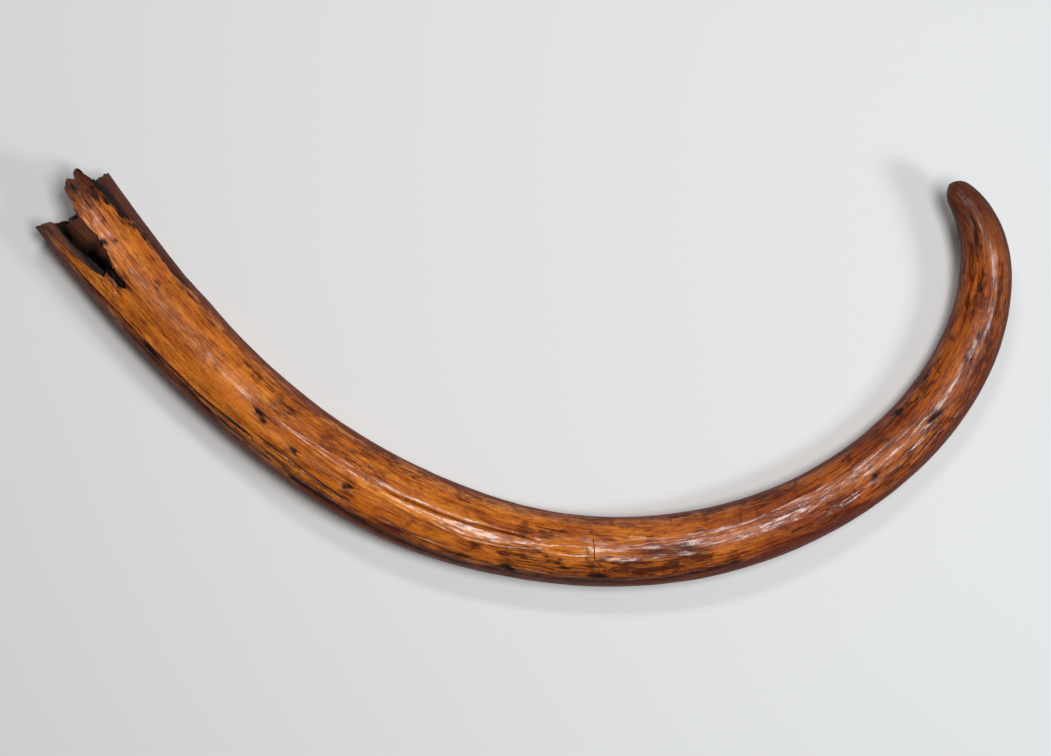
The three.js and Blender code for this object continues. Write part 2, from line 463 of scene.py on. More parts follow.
# %% Three finishes, filled in later
POLISHED, HOLLOW, BROKEN = range(3)
polished = bpy.data.materials.new("polished_ivory")
broken = bpy.data.materials.new("broken_ivory")
pulp_wall = bpy.data.materials.new("pulp_hollow")
tusk.data.materials.append(polished)
tusk.data.materials.append(pulp_wall)

along, _, radius = (values * MM for values in skin_places(tusk))
inside = (radius < (half_width(along) + pulp_at(along)) / 2) & (along < hollow_end + 2 * MM)
for face in tusk.data.polygons:
    face.material_index = HOLLOW if all(inside[v] for v in face.vertices) else POLISHED


def cut_with(cutter):
    """Cuts the tusk with a closed cutter, whose material stays on the cut, and puts the cutter away."""
    cutter.data.materials.append(broken)
    finish_with(tusk, "BOOLEAN", object=cutter, operation="DIFFERENCE", solver="EXACT",
                material_mode="TRANSFER")
    bpy.data.objects.remove(cutter)


# %% [markdown]
# ## The broken rim
# The root end snapped off across the grain, so the rim runs in and out with a knob, teeth and small
# steps. The cutter is a disc of rings, each point moved along the tusk by an outline round the rim
# plus splinter noise, and closed behind. Moving the rim's own ring would give the outline but not
# the rough face of the break.

# %% Cut the rim with a splintered disc
RIM = [(0, -1), (38, 0), (48, -3), (53, -10), (56, -17), (61, -18), (64, -14), (67, -11), (71, -12),
       (79, -13.5), (86, -9), (88.5, 6), (94, 20),
       (120, 16), (126, 14), (132, 10.6), (134, 7.6), (148, 3.4), (180, 0), (210, 3), (236, 6.5),
       (240, 12), (246, 7), (259, 9), (290, 9), (330, 3), (360, -1)]
RIM_CORNERS = 240
DISC_RADII = [76, 56, 50, 47.5, 45, 42.5, 40, 37.5, 35, 30, 18]
DISC_BACK = 110 * MM            # how far behind the rim the cutter is closed
SKIN_RADIUS = 46                # where the splinters are laid out, and where the face starts to slope in

bpy.ops.object.select_all(action="DESELECT")
bpy.ops.mesh.primitive_circle_add(
    vertices=RIM_CORNERS, radius=DISC_RADII[0] * MM, rotation=(0, math.pi / 2, 0))
disc = settle(bpy.context.object, "rim_cutter")
edit_all()
for before, here in zip(DISC_RADII[:-1], DISC_RADII[1:]):
    extrude_ring(0, here / before)
bpy.ops.mesh.edge_face_add()
bpy.ops.object.mode_set(mode="OBJECT")

rim_degrees, rim_along = zip(*RIM)
for corner in disc.data.vertices:
    radius = math.hypot(corner.co.y, corner.co.z) / MM
    degrees = math.degrees(math.atan2(corner.co.z, corner.co.y)) % 360
    arc = Vector((math.cos(math.radians(degrees)), math.sin(math.radians(degrees)), 0)) * SKIN_RADIUS
    splinters = 2.6 * noise.fractal(arc / 7 + Vector((0, 0, radius / 30)), 0.9, 2.1, 4)
    teeth = 1.3 * abs(noise.noise(arc / 2.2 + Vector((0, 0, radius / 14))))
    slope = 0.30 * max(0.0, SKIN_RADIUS - radius)
    corner.co.x = (float(np.interp(degrees, rim_degrees, rim_along)) + splinters + teeth + slope) * MM
    corner.co.z *= SECTION_HEIGHT

select_points(disc, skin_places(disc)[2] > DISC_RADII[0] - 3)
bpy.ops.mesh.select_mode(type="EDGE")
extrude_ring(-DISC_BACK)
bpy.ops.mesh.edge_face_add()
bpy.ops.mesh.select_all(action="SELECT")
bpy.ops.mesh.normals_make_consistent(inside=False)
bpy.ops.object.mode_set(mode="OBJECT")
cut_with(disc)
print("rim cut:", len(tusk.data.polygons), "faces")

# %% [markdown]
# ## The split, the pit and the cracks
# On top the wall has split open into the hollow, with a long slanting break on one side; behind it
# is a small pit, beside it a crack runs under the flaked layer, and half way along a thin drying
# crack crosses the grain. Each is cut by a block that is drawn as two outlines, one deep and narrow
# and one above the skin and wider, with splinter noise.

# %% Cut blocks drawn by a lower and an upper outline


def block(name, lower, upper, low, high):
    """A closed block between two outlines of as many points, (along, across), at two heights."""
    bpy.ops.object.select_all(action="DESELECT")
    bpy.ops.mesh.primitive_circle_add(vertices=len(lower), radius=1.0, fill_type="NGON")
    piece = settle(bpy.context.object, name)
    for corner, (along, across) in zip(piece.data.vertices, lower):
        corner.co = (along * MM, across * MM, low * MM)
    edit_all()
    bpy.ops.mesh.extrude_region_move(TRANSFORM_OT_translate={"value": (0, 0, (high - low) * MM)})
    bpy.ops.object.mode_set(mode="OBJECT")
    raised = [v for v in piece.data.vertices if v.co.z > (low + high) / 2 * MM]
    for corner in raised:
        nearest = min(range(len(lower)), key=lambda i: math.hypot(
            corner.co.x / MM - lower[i][0], corner.co.y / MM - lower[i][1]))
        corner.co.x, corner.co.y = (v * MM for v in upper[nearest])
    edit_all()
    bpy.ops.mesh.quads_convert_to_tris()
    bpy.ops.mesh.subdivide(number_cuts=3)
    bpy.ops.mesh.subdivide(number_cuts=2)
    bpy.ops.mesh.normals_make_consistent(inside=False)
    bpy.ops.object.mode_set(mode="OBJECT")
    return piece


CUTTER_SHIFT = 0.009
BLOCKS = [
    # name, lower outline, upper outline, heights, noise size, noise height and direction
    ("split_cutter",
     [(-60, -35), (20, -34), (48, -31), (70, -26.5), (81, -21),
      (76, -14), (62, -17), (43, -25), (20, -26), (-60, -27)],
     [(-60, -31), (17, -31.5), (48, -28.5), (71, -23.5), (86, -18),
      (84, -2), (60, 4), (42, 8), (19, 5), (-60, 3)],
     22, 50, 0.010, 3.0 * MM, "NORMAL"),
    ("pit_cutter",
     [(82, -11), (87, -13.5), (93, -12), (100, -12), (104, -10), (98, -8.5), (92, -9.5), (86, -8)],
     [(75, -12), (84, -17.5), (91, -14), (101, -15), (111, -9), (101, -5), (94, -7.5), (82, -4)],
     29, 50, 0.005, 2.4 * MM, "NORMAL"),
    ("crack_cutter",
     [(-60, 30.5), (12, 32), (32, 35), (50, 37), (40, 38), (12, 37), (-60, 36)],
     [(-60, 27.5), (12, 29.5), (32, 33.5), (62, 38.5), (44, 40.5), (12, 40), (-60, 39)],
     24, 48, 0.006, 2.0 * MM, "NORMAL"),
    ("drying_crack_cutter",
     [(649, 18), (650.5, 5), (651.5, -6), (657.5, -12.5),
      (662, -16), (658.2, -12.1), (652.1, -6), (651.1, 5)],
     [(648, 21), (649.7, 5), (650.9, -5), (656.8, -12.4),
      (664, -19), (658.6, -11.6), (652.4, -6), (651.3, 5)],
     28.5, 38, 0.003, 1.6 * MM, "X"),
]
for name, lower, upper, low, high, size, height, direction in BLOCKS:
    cutter = block(name, lower, upper, low, high)
    displace(cutter, name, size, 3, (3.0, 1.0, 1.0), CUTTER_SHIFT, height, direction)
    cut_with(cutter)
    print(name, "cut:", len(tusk.data.polygons), "faces")

# %% [markdown]
# ## What the finish needs to know
# The stains and the grain follow the tusk as it grew, not as it lies. So each point keeps, as
# attributes, its place on the straight tusk, how deep it is under the skin, how much its groove is
# darkened, and how much stain and painted shadow it holds. They are stored before the bend, and the
# materials read them by name.

# %% Keep the straight places, the groove darkening and the stains with painted shadow as attributes


def keep(piece, name, values, kind="FLOAT"):
    field = "vector" if kind == "FLOAT_VECTOR" else "value"
    attribute = piece.data.attributes.new(name, kind, "POINT")
    attribute.data.foreach_set(field, np.asarray(values, np.float32).ravel())


STAINS_AND_SHADOWS = [
    # place along and across as seen from above, size along and round, strength
    (285, -1, 7, 4, 1.2), (294, -4, 6, 3, 1.1), (334, -8, 10, 3.5, 1.1), (396, -8.5, 9, 5, 1.5),
    (398, -17, 16, 5, 0.5), (265, 28, 26, 9, 0.4), (304, 22, 18, 20, 0.45), (380, 20, 44, 10, 0.45),
    (440, 27, 60, 8, 0.35), (532, -15, 14, 8, 0.7), (568, -26, 12, 6, 1.1), (600, 15, 24, 9, 0.65),
    (608, -20, 48, 13, 0.6), (640, -24, 60, 12, 0.65), (690, -27, 80, 9, 0.65), (622, -16, 14, 6, 0.9),
    (655, -24, 16, 5, 1), (708, 14, 6, 11, 0.7), (735, -2, 46, 8, 0.65), (742, -11, 28, 10, 0.6),
    (784, -21, 14, 12, 0.75), (772, 30, 34, 7, 0.55), (838, 26, 46, 7, 0.6), (845, 6, 24, 9, 0.5),
    (760, 15, 8, 4, 0.7), (930, 24, 8, 12, 0.65), (971, 21, 12, 16, 0.55), (1005, 26, 9, 9, 1.15),
    (1011, 5, 9, 11, 0.7), (1025, -4, 26, 6, 1), (1054, 25, 16, 8, 0.85), (941, -8, 8, 5, 1.2),
    (890, -17, 36, 7, 0.5), (1100, -1, 44, 5, 0.7), (1115, -11, 26, 7, 0.65), (1150, 13, 26, 10, 0.55),
    (1176, 7, 14, 4, 1), (1228, 8, 34, 7, 0.72), (1262, 4, 22, 18, 0.65), (1205, 18, 30, 8, 0.6),
    # This row and the next follow the flaked layer's edge: black stain and the painted shadow of its step.
    (-14, 26, 9, 5, 1.2), (6, 25, 7, 4, 1.1), (24, 28, 9, 3.5, 1.2), (44, 31, 8, 4, 1.2),
    (60, 34, 7, 4, 1.1), (78, 35, 9, 3, 1.2), (98, 36, 10, 3, 1.1), (118, 35.5, 8, 2.5, 1.1),
    (56, 1, 6, 5, 1.05), (62, 11, 5, 3, 0.9), (-4, 12, 8, 5, 1.1), (12, 22, 20, 6, 1), (40, 14, 6, 5, 0.6),
    (100, 30, 8, 5, 0.6), (128, 27, 5, 9, 0.5), (122, 15, 10, 6, 0.45), (150, 33, 20, 4, 0.6),
    (60, 30, 24, 4, 0.5), (700, 28, 30, 6, 0.4), (500, 29, 24, 7, 0.4), (1040, 20, 40, 12, 0.5),
    (222, 8, 10, 18, 0.35), (620, -22, 60, 14, 0.55), (690, -22, 60, 12, 0.55),
]
DARK_LINES = [
    # path as (along, across) seen from above, width, strength
    # The lines along the flaked layer's edge, here and further down, are black stain and the painted shadow
    # of its step.
    ([(-16, 30), (10, 33), (30, 35), (50, 37.5)], 6.5, 1), ([(45, 38), (70, 39.5), (86, 38)], 4, 1),
    ([(86, 36.5), (118, 36.5), (150, 36)], 3.2, 0.85), ([(160, 39.5), (210, 39.5), (280, 38.5)], 2.2, 0.7),
    ([(60, -39), (120, -37.5), (190, -36)], 3, 0.6), ([(150, -32.5), (240, -31.5), (330, -30)], 4, 0.9),
    ([(300, -21), (340, -20), (400, -21.5)], 2.4, 0.6), ([(340, -31.5), (400, -32), (440, -33)], 3.4, 1.2),
    ([(420, -33), (470, -33.5), (540, -33)], 4, 0.9), ([(430, -24), (500, -24), (560, -26)], 2.5, 0.7),
    ([(540, -30), (620, -29), (700, -28), (800, -26)], 6, 0.75),
    ([(640, 8), (648, 22), (650, 30)], 1.6, 0.7), ([(690, 33), (760, 31), (860, 29)], 2.2, 0.5),
    ([(930, 26), (1000, 26), (1090, 22)], 1.8, 0.55), ([(1085, -14), (1130, -14), (1180, -12)], 1.6, 0.5),
    # Painted shade: the wide line from 76 to 108 along blackens the pit, and the first line after it the
    # end of the split.
    ([(1060, -8), (1110, -7)], 1.4, 0.6), ([(76, -13), (90, -11), (108, -9)], 8, 1),
    ([(64, -21), (76, -17), (84, -14)], 3, 0.9), ([(-30, 31), (0, 32), (30, 33), (60, 36)], 6.5, 1.15),
    ([(40, 36), (90, 37), (150, 37)], 5, 0.9),
    ([(556, -15), (600, -18), (660, -19), (720, -17), (765, -20)], 15, 0.6),
    ([(690, -4), (770, -7)], 6, 0.55), ([(830, -19), (900, -19), (960, -17)], 8, 0.5),
    ([(1040, -13), (1110, -14), (1190, -12)], 10, 0.6), ([(380, 33), (480, 33), (600, 31)], 5, 0.35),
    ([(880, -4), (960, -8), (1030, -10)], 4, 0.45), ([(205, -28), (300, -27), (400, -28)], 7, 0.5),
    ([(930, -16), (985, -17), (1040, -16)], 9, 0.5),
]

straight = points_of(tusk)
places = skin_places(tusk)
keep(tusk, "straight", straight, "FLOAT_VECTOR")
depth = half_width(straight[:, 0]) - places[2] * MM
keep(tusk, "depth", depth)
keep(tusk, "around", places[1] * MM / np.maximum(half_width(straight[:, 0]), 1 * MM))

# Each groove is darkened by the square root of its depth.
groove_darkening, _ = gather(places, [(path, width * 1.15, math.sqrt(cut)) for path, width, cut in GROOVES], seed=1)
# Stains, with painted shadow along the flaked edge and painted shade in the pit.
stain_and_shadow = np.zeros(len(straight))
for number, (*patch, strength) in enumerate(STAINS_AND_SHADOWS):
    stain_and_shadow = np.maximum(stain_and_shadow, strength * dab(places, patch, 40 + number, rough=0.7))
for number, (path, width, strength) in enumerate(DARK_LINES):
    stain_and_shadow = np.maximum(stain_and_shadow, strength * stroke(places, path, width, 200 + 5 * number, wobble=1.5))
keep(tusk, "groove_darkening", groove_darkening)
keep(tusk, "stain_and_shadow", stain_and_shadow)
keep(tusk, "flaked", flaked_share(places, 0.5, 110, 20))
print("stains", len(STAINS_AND_SHADOWS) + len(DARK_LINES), "mean dirt", round(float(groove_darkening.mean()), 4))

# %% [markdown]
# ## The bend
# The tusk heads down from its root, swings round under the bow and hooks back at the tip. Its heading
# is a formula of the share of the length, so the spine is walked in short steps and laid as a curve,
# and a Curve modifier bends the straight tusk along it. The spine's height is half the section plus
# the lift, so the underside lies where the measures say.

# %% Walk the spine and bend along it
LEAD = 40 * MM
TRAIL = 10 * MM
WALK = 2 * MM
SHARP_DEGREES = 38              # edges that turn more than this stay sharp


def bow_heading(share):
    eased = BOW["start"] * share + BOW["swell"] * share**2 / 2 + BOW["relax"] * share**3 / 3
    reach = BOW["reach"]
    hooked = BOW["hook"] * reach * (math.exp((share - 1) / reach) - math.exp(-1 / reach))
    return BOW["heading"] + eased + hooked


def spine_points():
    steps = int(round((LEAD + TUSK_LENGTH + TRAIL) / WALK))
    x, y = SPINE_START
    back = bow_heading(0)
    points = [(x - LEAD * math.cos(back), y - LEAD * math.sin(back))]
    for step in range(steps):
        along = (step + 0.5) * WALK - LEAD
        heading = bow_heading(max(0.0, along / BENT_LENGTH))
        points.append((points[-1][0] + WALK * math.cos(heading), points[-1][1] + WALK * math.sin(heading)))
    along = np.maximum(0, np.arange(steps + 1) * WALK - LEAD)
    heights = taper_at(along) * SECTION_HEIGHT + lift_at(along) - REST_TRIM
    return [(px, py, float(pz)) for (px, py), pz in zip(points, heights)]


route = spine_points()
spine_data = bpy.data.curves.new("spine", "CURVE")
spine_data.dimensions = "3D"
spine_data.twist_mode = "Z_UP"
spine_data.use_deform_bounds = False
line = spine_data.splines.new("POLY")
line.points.add(len(route) - 1)
for point, place in zip(line.points, route):
    point.co = (*place, 1)
spine = bpy.data.objects.new("spine", spine_data)
bpy.context.scene.collection.objects.link(spine)

walked = np.concatenate([[0], np.cumsum(np.linalg.norm(np.diff(route, axis=0), axis=1))])
level = np.arange(len(route)) * WALK - LEAD
along_spine = straight.copy()
along_spine[:, 0] = np.interp(straight[:, 0], level, walked)
tusk.data.vertices.foreach_set("co", along_spine.ravel())
finish_with(tusk, "CURVE", object=spine, deform_axis="POS_X")
bpy.data.objects.remove(spine)

below = points_of(tusk)[:, 2] < 0
select_points(tusk, below)
bpy.ops.transform.resize(value=(1, 1, 0), center_override=(0, 0, 0))
bpy.ops.object.mode_set(mode="OBJECT")
bpy.ops.object.shade_smooth_by_angle(angle=math.radians(SHARP_DEGREES))
bent = points_of(tusk)
print("bent box", bent.min(0).round(4), bent.max(0).round(4), "flat points", int(below.sum()))

# %% [markdown]
# ## A map of the surface
# A finish that is to be kept as a picture needs a flat map. The skin is unrolled as two straight
# strips, root half and tip half, so the grain runs along them; the hollow is a third strip. Only the
# broken faces are left to an automatic unwrap, in a corner of their own, because they have no grain.

# %% Unroll the skin and the hollow, and unwrap the break
MAP_SIDE = 680.0                # the map's side, in millimetres of tusk
HALF_WAY = 622.5
STRIPS = [
    # finish, from and to along the tusk, place on the map, height of the strip
    (POLISHED, -36.0, HALF_WAY, (4, 4), 290),
    (POLISHED, HALF_WAY, 1290.0, (8, 304), 222),
    (HOLLOW, -36.0, 1290.0, (4, 536), 138),
]
BREAK_CORNER, BREAK_SIDE = (256, 534), 140
AXIS_REACH = 0.4 * MM           # nearer to the axis than this, a corner has no place round it

tusk.data.uv_layers.new(name="OFBake")
finishes = np.empty(len(tusk.data.polygons), int)
tusk.data.polygons.foreach_get("material_index", finishes)
pick(tusk)
bpy.ops.object.mode_set(mode="EDIT")
bpy.ops.mesh.select_mode(type="FACE")
bpy.ops.object.mode_set(mode="OBJECT")
tusk.data.polygons.foreach_set("select", finishes == BROKEN)
bpy.ops.object.mode_set(mode="EDIT")
bpy.ops.uv.smart_project(angle_limit=1.15, island_margin=0.006)
bpy.ops.object.mode_set(mode="OBJECT")

unwrapped = tusk.data.uv_layers["OFBake"]
flat = np.empty(len(unwrapped.uv) * 2)
unwrapped.uv.foreach_get("vector", flat)
flat = flat.reshape(-1, 2)
starts = np.empty(len(finishes), int)
sizes = np.empty(len(finishes), int)
corners = np.empty(len(flat), int)
tusk.data.polygons.foreach_get("loop_start", starts)
tusk.data.polygons.foreach_get("loop_total", sizes)
tusk.data.loops.foreach_get("vertex_index", corners)
face_of = np.repeat(np.arange(len(finishes)), sizes)

along_mm = straight[corners, 0] / MM
turned = np.arctan2(straight[corners, 1], straight[corners, 2] / SECTION_HEIGHT)
on_axis = np.hypot(straight[corners, 1], straight[corners, 2]) < AXIS_REACH
most = np.maximum.reduceat(np.where(on_axis, -9.0, turned), starts)
least = np.minimum.reduceat(np.where(on_axis, 9.0, turned), starts)
turned[((most - least) > math.pi)[face_of] & (turned < 0)] += 2 * math.pi
off_axis = np.maximum(1, np.add.reduceat(~on_axis, starts))
others = np.add.reduceat(np.where(on_axis, 0.0, turned), starts) / off_axis
turned[on_axis] = others[face_of][on_axis]
middle = (np.add.reduceat(along_mm, starts) / sizes)[face_of]
for finish, first, last, (left, bottom), tall in STRIPS:
    here = (finishes[face_of] == finish) & (middle >= first) & (middle < last)
    flat[here, 0] = (left + along_mm[here] - first) / MAP_SIDE
    flat[here, 1] = (bottom + (turned[here] + math.pi) / (2 * math.pi) * tall) / MAP_SIDE
here = finishes[face_of] == BROKEN
flat[here] = (np.array(BREAK_CORNER) + flat[here] * BREAK_SIDE) / MAP_SIDE
unwrapped.uv.foreach_set("vector", flat.ravel())
print("the map spans", flat.min(0).round(3), flat.max(0).round(3))

# %% [markdown]
# ## Finishes
# Three finishes share long grain and soft mottling, each a node group with named sockets, so that it
# is built once and set differently in each finish, and they read the same dark stains, which are
# partly painted shadow. They all read the straight place of a point, so the grain runs with the tusk
# round its bow.

# %% A short way to place shader nodes


def feed(tree, socket, value):
    """Gives a socket a number or a colour, or links another node's output to it."""
    if isinstance(value, bpy.types.NodeSocket):
        tree.links.new(value, socket)
    else:
        socket.default_value = value


def add_node(tree, kind, options=None, **inputs):
    """Places a node; i0, i1 and so on name an input by its number."""
    node = tree.nodes.new("ShaderNode" + kind)
    for name, value in (options or {}).items():
        setattr(node, name, value)
    for name, value in inputs.items():
        feed(tree, node.inputs[int(name[1:]) if name[1:].isdigit() else name], value)
    return node


def maths(tree, operation, first, second=0.0):
    return add_node(tree, "Math", {"operation": operation}, i0=first, i1=second).outputs[0]


def times(tree, first, second):
    return maths(tree, "MULTIPLY", first, second)


def plus(tree, first, second):
    return maths(tree, "ADD", first, second)


def between(tree, value, low, high, to_low=0.0, to_high=1.0):
    """Smoothly from to_low to to_high as the value goes from low to high."""
    options = {"interpolation_type": "SMOOTHSTEP"}
    node = add_node(tree, "MapRange", options, i0=value, i1=low, i2=high, i3=to_low, i4=to_high)
    return node.outputs[0]


def blend(tree, amount, first, second):
    """From the first colour to the second, by an amount from 0 to 1."""
    options = {"data_type": "RGBA", "clamp_factor": True}
    return add_node(tree, "Mix", options, i0=amount, i6=first, i7=second).outputs[2]


def lay(tree, mask, share, under, over):
    """Lays a share of one colour over another, where the mask is."""
    return blend(tree, times(tree, mask, share), under, over)


def stretched_noise(tree, place, marks, octaves=3.0, rough=0.55, shift=0.0, warp=0.0):
    """Noise whose marks are as long and as wide as told, in millimetres."""
    long, wide = (1000.0 / v for v in marks)
    mapping = add_node(tree, "Mapping", Vector=place, Scale=(long, wide, wide), Location=(shift,) * 3)
    noise_node = add_node(tree, "TexNoise", Vector=mapping.outputs[0], Scale=1.0, Detail=octaves,
                          Roughness=rough, Distortion=warp)
    return noise_node.outputs[0]


def new_group(name, masks):
    """A node group that turns a place into masks, with its place socket and its output end."""
    group = bpy.data.node_groups.new(name, "ShaderNodeTree")
    group.interface.new_socket("Place", in_out="INPUT", socket_type="NodeSocketVector")
    for mask in masks:
        group.interface.new_socket(mask, in_out="OUTPUT", socket_type="NodeSocketFloat")
    place = group.nodes.new("NodeGroupInput").outputs["Place"]
    return group, place, group.nodes.new("NodeGroupOutput").inputs


def use_group(tree, group, place):
    return add_node(tree, "Group", {"node_tree": group}, Place=place)


def from_mesh(tree, name, output="Fac"):
    return add_node(tree, "Attribute", {"attribute_name": name}).outputs[output]


# %% [markdown]
# ## Grain
# Ivory shows the ends and sides of its growth layers as long dark streaks, a millimetre or two
# wide, with broader soft bands between and small pores. Four noises, each stretched along the tusk,
# give them; a wave texture would look like sawn wood, because its lines repeat.

# %% The grain group
grain, place, ends = new_group("ivory_grain", ["Streaks", "Bands", "Pores", "Height"])
lines = stretched_noise(grain, place, (30, 2.0), 4.0, 0.64, warp=0.5)
hairs = stretched_noise(grain, place, (15, 1.05), 3.0, 0.6, shift=4.1)
bands = stretched_noise(grain, place, (110, 6.0), 3.0, 0.55, shift=8.7, warp=0.3)
pores = stretched_noise(grain, place, (5.0, 1.1), 2.0, 0.5, shift=2.3)
hair_mask = times(grain, between(grain, hairs, 0.50, 0.66), 0.8)
streak_mask = maths(grain, "MAXIMUM", between(grain, lines, 0.47, 0.64), hair_mask)
grain.links.new(streak_mask, ends["Streaks"])
grain.links.new(between(grain, bands, 0.36, 0.66), ends["Bands"])
grain.links.new(between(grain, pores, 0.60, 0.74), ends["Pores"])
height = maths(grain, "SUBTRACT", lines, times(grain, streak_mask, 0.35))
grain.links.new(height, ends["Height"])

# %% [markdown]
# ## Mottling
# Minerals soaked into the ivory unevenly in the ground, so amber passes into mahogany in soft
# patches, and here and there a band crosses the grain. Four noises of different shape do this.

# %% The mottle group
mottle, place, ends = new_group("mineral_mottle", ["Patches", "Blotches", "Cross bands", "Freckles"])
patches = stretched_noise(mottle, place, (95, 30), 7.0, 0.66, shift=1.9, warp=0.5)
blotches = stretched_noise(mottle, place, (26, 8), 6.0, 0.68, shift=7.7, warp=0.4)
cross = stretched_noise(mottle, place, (16, 26), 5.0, 0.66, shift=6.2, warp=0.6)
freckles = stretched_noise(mottle, place, (5.5, 2.4), 3.0, 0.6, shift=3.3)
mottle.links.new(between(mottle, patches, 0.43, 0.60), ends["Patches"])
mottle.links.new(between(mottle, blotches, 0.50, 0.64), ends["Blotches"])
mottle.links.new(between(mottle, cross, 0.54, 0.70), ends["Cross bands"])
mottle.links.new(between(mottle, freckles, 0.55, 0.70), ends["Freckles"])

# %% [markdown]
# ## Polished ivory
# The outside was waxed and rubbed: bright amber on top, umber along the flanks, partly stain that
# wasn't rubbed through and partly painted shade where the sides turn away from the light above; the
# grooves are darkened by their depth, and stains and painted shadows are nearly black. Colours are
# laid one over another, as a stain is, and the polish is a thin uneven coat over satin ivory, duller
# in the grooves, stains and flaked parts, at the flanks, the tip and the rim.

# %% The polished outside
AMBER = (0.660, 0.165, 0.0110, 1)
HONEY = (0.860, 0.280, 0.0300, 1)
RUSSET = (0.290, 0.048, 0.0055, 1)
MAHOGANY = (0.072, 0.0105, 0.0028, 1)
UMBER = (0.135, 0.0185, 0.0032, 1)
PITCH = (0.006, 0.0030, 0.0022, 1)
TIP_BROWN = (0.080, 0.023, 0.010, 1)
POLISH_IOR, BREAK_IOR = 1.27, 1.30
COAT_ROUGHNESS = 0.17


def start_material(material):
    material.use_nodes = True
    tree = material.node_tree
    tree.nodes.clear()
    surface = tree.nodes.new("ShaderNodeBsdfPrincipled")
    output = tree.nodes.new("ShaderNodeOutputMaterial")
    tree.links.new(surface.outputs[0], output.inputs[0])
    return tree, surface


tree, surface = start_material(polished)
place = from_mesh(tree, "straight", "Vector")
along = add_node(tree, "SeparateXYZ", Vector=place).outputs[0]
marks = use_group(tree, grain, place)
spots = use_group(tree, mottle, place)
streaks, bands, pores = (marks.outputs[name] for name in ("Streaks", "Bands", "Pores"))
patches, blotches, cross, freckles = spots.outputs[:4]
around = from_mesh(tree, "around")
uneven = maths(tree, "SUBTRACT", plus(tree, plus(tree, blotches, patches), streaks), 1.2)
uneven = times(tree, uneven, 0.17)
# Stain and painted shade on the flanks: the sides are darkened, partly by stain that wasn't rubbed through
# and partly as painted shade where they turn away from the light above, less so underneath.
lower_band = between(tree, along, 0.22, 0.50, 0.0, 0.20)
outer_side_stain_and_shade = between(tree, plus(tree, maths(tree, "SUBTRACT", uneven, around), lower_band), 0.62, 1.12)
inner_side_stain_and_shade = between(tree, plus(tree, uneven, around), 0.70, 1.30)
side_stain_and_shade = maths(tree, "MAXIMUM", outer_side_stain_and_shade, inner_side_stain_and_shade)
side_stain_and_shade = times(tree, side_stain_and_shade, between(tree, maths(tree, "ABSOLUTE", around), 1.3, 2.2, 1.0, 0.45))
towards_tip = between(tree, along, 0.40, 1.12)
the_tip = between(tree, along, 1.17, 1.26)

colour = lay(tree, bands, 0.8, AMBER, HONEY)
colour = lay(tree, patches, between(tree, along, 0.1, 1.0, 0.40, 0.90), colour, RUSSET)
colour = lay(tree, blotches, between(tree, along, 0.1, 1.1, 0.45, 0.90), colour, RUSSET)
colour = lay(tree, towards_tip, 0.60, colour, RUSSET)
# Umber on the flanks: stain and painted shade.
colour = lay(tree, side_stain_and_shade, 0.92, colour, UMBER)
colour = lay(tree, cross, between(tree, along, 0.0, 1.0, 0.35, 0.80), colour, MAHOGANY)
colour = lay(tree, the_tip, 0.85, colour, TIP_BROWN)
streak_share = plus(tree, between(tree, patches, 0.0, 1.0, 0.45, 0.70), times(tree, towards_tip, 0.20))
colour = lay(tree, streaks, streak_share, colour, MAHOGANY)
colour = lay(tree, pores, 0.60, colour, MAHOGANY)
colour = lay(tree, freckles, between(tree, side_stain_and_shade, 0.0, 1.0, 0.15, 0.65), colour, PITCH)
ragged_along = maths(tree, "SUBTRACT", along, times(tree, plus(tree, blotches, streaks), 0.014))
by_the_rim = between(tree, ragged_along, 0.030, -0.004)
colour = lay(tree, by_the_rim, 0.88, colour, MAHOGANY)
colour = lay(tree, by_the_rim, freckles, colour, PITCH)
# Stains, with painted shadow along the flaked edge and painted shade in the pit: brown where faint, black
# where strong.
stain_and_shadow_level = from_mesh(tree, "stain_and_shadow")
grainy = maths(tree, "SUBTRACT", plus(tree, streaks, blotches), 0.7)
flaked_off = from_mesh(tree, "flaked")
flaked_off = between(tree, plus(tree, flaked_off, times(tree, grainy, 0.35)), 0.25, 0.65)
colour = lay(tree, flaked_off, 0.88, colour, MAHOGANY)
browned = between(tree, plus(tree, stain_and_shadow_level, times(tree, grainy, 0.50)), -0.10, 0.68)
browned = times(tree, browned, between(tree, stain_and_shadow_level, 0.0, 0.35))
colour = lay(tree, browned, 0.90, colour, MAHOGANY)
stain_and_shadow_mask = between(tree, plus(tree, stain_and_shadow_level, times(tree, grainy, 0.45)), 0.42, 0.85)
stain_and_shadow_mask = times(tree, stain_and_shadow_mask, between(tree, stain_and_shadow_level, 0.55, 0.80))
colour = lay(tree, stain_and_shadow_mask, 0.95, colour, PITCH)
# Darker in the grooves by their depth, up to nearly black.
darkened_grooves = from_mesh(tree, "groove_darkening")
colour = blend(tree, between(tree, darkened_grooves, 0.20, 0.85, 0.0, 0.88), colour, PITCH)
tree.links.new(colour, surface.inputs["Base Color"])

# %% The polish
dulled = maths(tree, "MAXIMUM", stain_and_shadow_mask, between(tree, darkened_grooves, 0.2, 0.8))
for mask, share in ((flaked_off, 0.9), (the_tip, 0.5), (side_stain_and_shade, 0.75), (by_the_rim, 0.6)):
    dulled = maths(tree, "MAXIMUM", dulled, times(tree, mask, share))
gloss = between(tree, stretched_noise(tree, place, (16, 3.5), 3.0, 0.6, shift=5.5), 0.38, 0.66)
roughness = plus(tree, between(tree, gloss, 0.0, 1.0, 0.44, 0.28), times(tree, dulled, 0.25))
tree.links.new(roughness, surface.inputs["Roughness"])
waxed = times(tree, between(tree, gloss, 0.0, 1.0, 0.08, 0.55), between(tree, dulled, 0.0, 0.7, 1.0, 0.0))
tree.links.new(waxed, surface.inputs["Coat Weight"])
dimples = stretched_noise(tree, place, (9.0, 3.2), 3.0, 0.6, shift=7.1)
